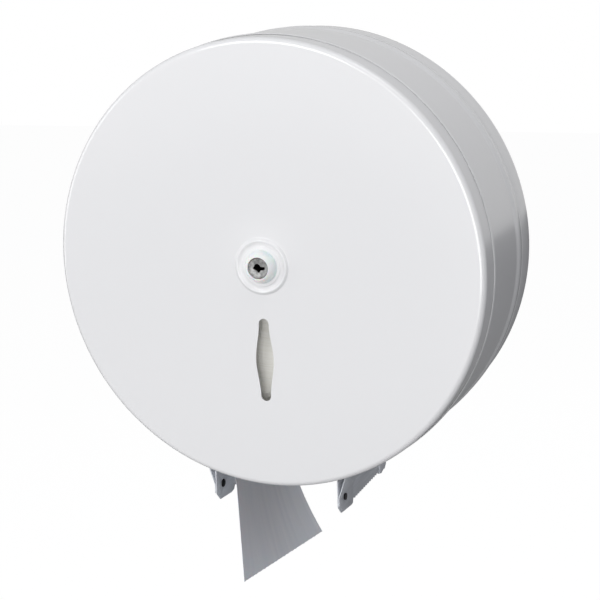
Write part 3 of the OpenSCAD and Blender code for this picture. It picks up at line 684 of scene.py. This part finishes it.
def rivet_tree():
    """Geometry Nodes: a domed rivet with shank and tail on every point, aimed along its 'aim'."""
    tree = bpy.data.node_groups.new("domed_rivets", "GeometryNodeTree")
    ports = tree.interface
    ports.new_socket("Geometry", in_out="INPUT", socket_type="NodeSocketGeometry")
    for label in ("Head radius", "Head height", "Shank radius", "Grip", "Tail radius", "Tail height"):
        ports.new_socket(label, in_out="INPUT", socket_type="NodeSocketFloat")
    ports.new_socket("Finish", in_out="INPUT", socket_type="NodeSocketMaterial")
    ports.new_socket("Geometry", in_out="OUTPUT", socket_type="NodeSocketGeometry")
    given = add(tree, "NodeGroupInput").outputs

    def number(operation, a, b):
        return add(tree, "ShaderNodeMath", {0: a, 1: b}, operation=operation).outputs["Value"]

    # Head: a ball whose lower half is pressed flat
    ball = add(tree, "GeometryNodeMeshUVSphere", {"Segments": 28, "Rings": 16, "Radius": 1.0})
    where = add(tree, "ShaderNodeSeparateXYZ", {"Vector": add(tree, "GeometryNodeInputPosition").outputs[0]})
    flat = add(
        tree, "ShaderNodeCombineXYZ",
        {
            "X": number("MULTIPLY", where.outputs["X"], given["Head radius"]),
            "Y": number("MULTIPLY", where.outputs["Y"], given["Head radius"]),
            "Z": number("MULTIPLY", number("MAXIMUM", where.outputs["Z"], 0.0), given["Head height"]),
        },
    )
    head = add(
        tree, "GeometryNodeSetPosition",
        {"Geometry": ball.outputs["Mesh"], "Position": flat.outputs["Vector"]},
    )

    def rod(radius, length, middle):
        shape = add(
            tree, "GeometryNodeMeshCylinder",
            {"Vertices": 24, "Radius": radius, "Depth": length},
        )
        lift = add(tree, "ShaderNodeCombineXYZ", {"Z": middle})
        return add(
            tree, "GeometryNodeTransform",
            {"Geometry": shape.outputs["Mesh"], "Translation": lift.outputs["Vector"]},
        ).outputs["Geometry"]

    shank = rod(given["Shank radius"], given["Grip"], number("MULTIPLY", given["Grip"], -0.5))
    tail_middle = number("SUBTRACT", number("MULTIPLY", given["Tail height"], -0.5), given["Grip"])
    tail = rod(given["Tail radius"], given["Tail height"], tail_middle)
    whole = add(tree, "GeometryNodeJoinGeometry")
    for part in (tail, shank, head.outputs["Geometry"]):
        tree.links.new(part, whole.inputs["Geometry"])
    aim = add(tree, "GeometryNodeInputNamedAttribute", {"Name": "aim"}, data_type="FLOAT_VECTOR")
    turned = add(tree, "FunctionNodeAlignRotationToVector", {"Vector": aim.outputs["Attribute"]}, axis="Z")
    spread = add(
        tree, "GeometryNodeInstanceOnPoints",
        {
            "Points": given["Geometry"], "Instance": whole.outputs["Geometry"],
            "Rotation": turned.outputs["Rotation"],
        },
    )
    real = add(tree, "GeometryNodeRealizeInstances", {"Geometry": spread.outputs["Instances"]})
    dressed = add(
        tree, "GeometryNodeSetMaterial",
        {"Geometry": real.outputs["Geometry"], "Material": given["Finish"]},
    )
    add(tree, "NodeGroupOutput", {"Geometry": dressed.outputs["Geometry"]})
    return tree


RIVETS = rivet_tree()


def rivets(node, places, aims, material, head, grip, shank=1.6, tail=(0.0, 0.0)):
    """One group of rivets in the place of its CAD node; head and tail are (radius, height)."""
    mesh = bpy.data.meshes.new(node + "_domed")
    mesh.from_pydata([tuple(place(*p)) for p in places], [], [])
    aim = mesh.attributes.new("aim", "FLOAT_VECTOR", "POINT")
    for item, vector in zip(aim.data, aims):
        item.vector = vector
    piece = bpy.data.objects.new(node + "_domed", mesh)
    bpy.context.scene.collection.objects.link(piece)
    change = piece.modifiers.new("rivets", "NODES")
    change.node_group = RIVETS
    values = {
        "Head radius": head[0] * MM, "Head height": head[1] * MM, "Shank radius": shank * MM,
        "Grip": grip * MM, "Tail radius": max(tail[0], shank * 0.98) * MM,
        "Tail height": max(tail[1], 0.02) * MM, "Finish": material,
    }
    for item in RIVETS.interface.items_tree:
        if item.in_out == "INPUT" and item.name in values:
            change[item.identifier] = values[item.name]
    settle(piece)
    stands_for(piece, node, body_of_node(node))
    return piece


def all_rivets():
    """Every group of rivets, in the box of its CAD node."""
    head_r, head_h, tail_r = 3.04, 1.2, 2.4
    hinge_ups = (-50 / 3, 0, 50 / 3)
    cutter_x, cutter_up = 45.0, -161.7
    for side, node in ((-1, "cutter_rivets_left"), (1, "cutter_rivets_right")):
        low, high = box_mm(node)
        ends = (low.z + head_r, high.z - head_r)
        rivets(
            node, [(side * cutter_x, cutter_up, out) for out in ends], [(-side, 0, 0)] * 2,
            black, (3.0, 1.3), 1.5, tail=(tail_r, 1.0),
        )
    low, high = box_mm("foot_rivets")
    flange_r, socket_r = 32.0, 11.0
    foot = (flange_r + socket_r) / 2
    turns = [math.radians(a) for a in (45, 135, 225, 315)]
    rivets(
        "foot_rivets",
        [(foot * math.cos(t), SPINDLE_UP + foot * math.sin(t), high.z - head_h) for t in turns],
        [(0, -1, 0)] * 4, zinc, (head_r, head_h), high.z - head_h - low.z,
    )
    low, high = box_mm("hinge_rivets_fixed")
    middle = (low.x + high.x) / 2
    rivets(
        "hinge_rivets_fixed", [(middle, up, high.z - head_h) for up in hinge_ups],
        [(0, -1, 0)] * 3, zinc, (head_r, head_h), high.z - head_h - low.z,
    )
    low, high = box_mm("hinge_rivets_cover")
    out = (low.z + high.z) / 2
    head_foot, tail_h = low.x + head_h, 0.8
    rivets(
        "hinge_rivets_cover", [(head_foot, up, out) for up in hinge_ups],
        [(-1, 0, 0)] * 3, white, (head_r, head_h), high.x - head_foot - tail_h, tail=(tail_r, tail_h),
    )


# Roll


def wound_roll():
    """The full roll, with layers that stand a little proud of each other at both ends."""
    inner, outer = core_high.x, roll_high.x
    low, high = roll_low.z, roll_high.z
    steps = 100

    def unevenness(r, side):
        swell = noise.noise(Vector((r * 0.11, side * 7.0, 0.0)))
        fine = noise.noise(Vector((r * 0.9, side * 3.0, 5.0)))
        return 0.28 * abs(swell) + 0.1 * abs(fine)

    radii = [inner + (outer - inner) * i / steps for i in range(steps + 1)]
    front = [(r, high - unevenness(r, 1)) for r in radii]
    rear = [(r, low + unevenness(r, -1)) for r in radii][::-1]
    front[-1] = (outer - 0.5, high - 0.25)
    rear[0] = (outer - 0.5, low + 0.25)
    rounded = [(outer - 0.1, high - 0.7), (outer, high - 2), (outer, low + 2), (outer - 0.1, low + 0.7)]
    piece = lathe("wound_roll", front + rounded + rear, tissue, 200, on_spindle, smooth=60)
    stands_for(piece, "paper_roll", "roll")


def core():
    """The cardboard core with slightly crushed edges."""
    wall, low, high = 1.5, core_low.z, core_high.z
    inner, outer = core_high.x - wall, core_high.x
    outline = [
        (inner + CLOSE, low + 0.3), (inner + 0.3, low), (outer - 0.2, low), (outer - CLOSE, low + 0.3),
        (outer - CLOSE, high - 0.3), (outer - 0.2, high), (inner + 0.3, high), (inner + CLOSE, high - 0.3),
    ]
    piece = lathe("core_tube", outline, board, 96, on_spindle)
    stands_for(piece, "roll_core", "roll")


# Paper tail


def tail_point(along, across):
    """A point of the sheet: along is in millimetres from its start, across from 0 in front to 1 behind."""
    start_turn, leave_turn = 128.0, 225.0
    mid_r = roll_high.x + 0.6
    bend = 40.0
    hang_x, drift, sweep, lift = -31.6, 4.2, 26.4, 6.5
    root_half = math.sqrt(0.5)
    wrap = math.radians(leave_turn - start_turn) * mid_r
    leave = Vector((-mid_r * root_half, SPINDLE_UP - mid_r * root_half))
    run = hang_x - leave.x - bend * (1 - root_half)
    straight = run / root_half
    turning = bend * math.radians(45)
    hang_up = leave.y - run - bend * root_half
    drop_front = hang_up - tail_low.y
    drop_here = drop_front - across * lift

    def aside(done):
        """Drift and curl after a length of bend and hanging sheet."""
        share = done / (turning + drop_here)
        return Vector((drift * share + across * share * share * sweep, 0))

    if along < wrap:
        turn = math.radians(start_turn) + along / mid_r
        return Vector((mid_r * math.cos(turn), SPINDLE_UP + mid_r * math.sin(turn)))
    along -= wrap
    if along < straight:
        return leave + Vector((1, -1)) * (along * root_half)
    along -= straight
    if along < turning:
        turn = math.radians(45) - along / bend
        return leave + Vector((run, -run)) + aside(along) + bend * Vector(
            (math.cos(turn) - root_half, math.sin(turn) - root_half)
        )
    drop = (along - turning) * drop_here / drop_front
    return Vector((hang_x, hang_up - drop)) + aside(turning + drop)


def hanging_sheet():
    """The end of the paper: off the roll, through the slot, and twisting where it hangs."""
    rows, columns = 150, 48
    thickness = 0.25
    front, width = tail_high.z - 0.3, tail_high.z - tail_low.z - 0.6
    probe = [tail_point(float(a), 0.0) for a in range(0, 420)]
    end = next(i for i, p in enumerate(probe) if p.y < tail_low.y + 0.6)
    points, faces = [], []
    for i in range(rows + 1):
        for j in range(columns + 1):
            across = j / columns
            # Torn along a perforation: short tabs between the cuts
            torn = 0.5 * abs(math.sin(across * width * math.pi / 3.2)) if i == rows else 0.0
            along = end * i / rows - torn
            p = tail_point(along, across)
            q = tail_point(along + 0.5, across)
            side = (q - p).normalized()
            free = ease((along - 215) / 90)
            ripple = free * 0.1 * noise.noise(Vector((across * 4.5, along * 0.008, 2.0)))
            p += Vector((-side.y, side.x)) * ripple
            points.append(place(p.x, p.y, front - width * across))
    for i in range(rows):
        for j in range(columns):
            a = i * (columns + 1) + j
            faces.append([a, a + 1, a + columns + 2, a + columns + 1])
    piece = make("hanging_sheet", points, faces, sheet_tissue, 180)
    change = piece.modifiers.new("thickness", "SOLIDIFY")
    change.thickness = thickness * MM
    change.offset = 0.0
    settle(piece, 60)
    stands_for(piece, "paper_tail", "root")


# Small parts whose CAD shape is right keep it, and get rounded edges and a finish

SOFTENED = {
    "cheek_left": (strip, 0.15), "cheek_right": (strip, 0.15),
    "cutter_left": (strip, 0.12), "cutter_right": (strip, 0.12),
    "hinge_leaf_cover": (white, 0.35), "hinge_leaf_fixed": (zinc, 0.2),
    "hinge_pin": (black, 0.2), "lock_keeper": (zinc, 0.25), "lock_cam": (zinc, 0.25),
    "cam_nut": (black, 0.2), "lock_nut": (zinc, 0.3), "lock_barrel": (zinc, 0.2),
    "spindle_foot": (zinc, 0.3), "spindle_post": (zinc, 0.3), "rear_washer": (zinc, 0.15),
    "front_washer": (zinc, 0.15), "retaining_clip": (black, 0.15), "keeper_screw": (black, 0.15),
    "hub_bearing": (hub_abs, 0.3), "hub_sleeve": (hub_abs, 0.4),
}

front_pan()
wrapped_band()
rear_plate()
nose()
plug()
all_rivets()
wound_roll()
core()
hanging_sheet()
for node, (material, width) in SOFTENED.items():
    softened(node, material, width)


# Stage, light and camera


def floor():
    """A pale floor well below the dispenser, which hangs on a wall that isn't shown."""
    half, level = 6.0, -0.62
    mesh = bpy.data.meshes.new("floor")
    corners = [(-half, -half, level), (half, -half, level), (half, half, level), (-half, half, level)]
    mesh.from_pydata(corners, [], [(0, 1, 2, 3)])
    material, tree, shader = new_material("pale_floor", "#a0a0a0", 0.9)
    rays = add(tree, "ShaderNodeLightPath")
    glow = add(tree, "ShaderNodeEmission", {"Color": (1, 1, 1, 1), "Strength": 1.2})
    share = add(tree, "ShaderNodeMath", {0: rays.outputs["Is Camera Ray"], 1: 0.8}, operation="MULTIPLY")
    mixed = add(
        tree, "ShaderNodeMixShader",
        {0: share.outputs["Value"], 1: shader.outputs["BSDF"], 2: glow.outputs["Emission"]},
    )
    tree.links.new(mixed.outputs["Shader"], tree.nodes["Material Output"].inputs["Surface"])
    mesh.materials.append(material)
    piece = bpy.data.objects.new("floor", mesh)
    bpy.context.scene.collection.objects.link(piece)


def world():
    """Soft grey room light, brighter in the gloss; the camera sees it as plain white."""
    sky = bpy.data.worlds.new("studio")
    sky.use_nodes = True
    tree = sky.node_tree
    tree.nodes.clear()
    rays = add(tree, "ShaderNodeLightPath").outputs
    seen = add(
        tree, "ShaderNodeMath", {0: rays["Is Camera Ray"], 1: rays["Is Transmission Ray"]},
        operation="MAXIMUM",
    )
    room = add(tree, "ShaderNodeBackground", {"Color": colour("#f4f6ff"), "Strength": 0.22})
    gloss = add(tree, "ShaderNodeBackground", {"Color": (1, 1, 1, 1), "Strength": 0.6})
    plain = add(tree, "ShaderNodeBackground", {"Color": (1, 1, 1, 1), "Strength": 1.0})
    lit = add(
        tree, "ShaderNodeMixShader",
        {0: rays["Is Glossy Ray"], 1: room.outputs["Background"], 2: gloss.outputs["Background"]},
    )
    mixed = add(
        tree, "ShaderNodeMixShader",
        {0: seen.outputs[0], 1: lit.outputs["Shader"], 2: plain.outputs["Background"]},
    )
    add(tree, "ShaderNodeOutputWorld", {"Surface": mixed.outputs["Shader"]})
    bpy.context.scene.world = sky


def softbox(name, azimuth, elevation, distance, size, power, mirrored=True):
    """A rectangular lamp that faces the drum, by angles seen from it; gloss shows it if mirrored."""
    turn, rise = math.radians(azimuth), math.radians(elevation)
    target = Vector((0.02, -0.1, 0.0))
    away = Vector((math.sin(turn) * math.cos(rise), -math.cos(turn) * math.cos(rise), math.sin(rise)))
    lamp = bpy.data.lights.new(name, "AREA")
    lamp.shape = "RECTANGLE"
    lamp.size, lamp.size_y = size
    lamp.energy = power
    holder = bpy.data.objects.new(name, lamp)
    holder.location = target + distance * away
    holder.rotation_euler = away.to_track_quat("Z", "Y").to_euler()
    holder.visible_glossy = mirrored
    bpy.context.scene.collection.objects.link(holder)


def camera():
    """The photograph's view, fitted to the drum's edges."""
    azimuth, elevation, roll = (math.radians(a) for a in (21.53, 13.009, -1.67))
    distance, focal_px, frame_px, sensor = 0.9438, 1430.0, 600.0, 36.0
    target = Vector((0.02446, -0.11277, -0.02043))
    back = Vector(
        (
            math.sin(azimuth) * math.cos(elevation),
            -math.cos(azimuth) * math.cos(elevation),
            math.sin(elevation),
        )
    )
    right = (-back).cross(Vector((0, 0, 1))).normalized()
    down = (-back).cross(right)
    turned_right = math.cos(roll) * right - math.sin(roll) * down
    turned_down = math.sin(roll) * right + math.cos(roll) * down
    lens = bpy.data.cameras.new("photo_view")
    lens.sensor_width = sensor
    lens.lens = focal_px / frame_px * sensor
    holder = bpy.data.objects.new("photo_view", lens)
    turn = Matrix((turned_right, -turned_down, back)).transposed().to_4x4()
    holder.matrix_world = Matrix.Translation(target + back * distance) @ turn
    bpy.context.scene.collection.objects.link(holder)
    bpy.context.scene.camera = holder


floor()
world()
softbox("key_right_of_front", 12, 0, 2.3, (1.2, 1.2), 21.0)
softbox("high_left_fill", -20, 25, 2.3, (1.0, 1.0), 16.5)
softbox("top_right", 35, 60, 1.6, (0.8, 0.8), 3.6)
softbox("top_behind", 150, 50, 1.8, (1.8, 1.8), 11.5, mirrored=False)
softbox("left_fill", -65, 5, 1.8, (0.6, 1.2), 5.9)
softbox("low_fill", 20, -60, 1.6, (1.0, 1.0), 4.6)
camera()
bpy.context.scene.view_settings.view_transform = "Standard"
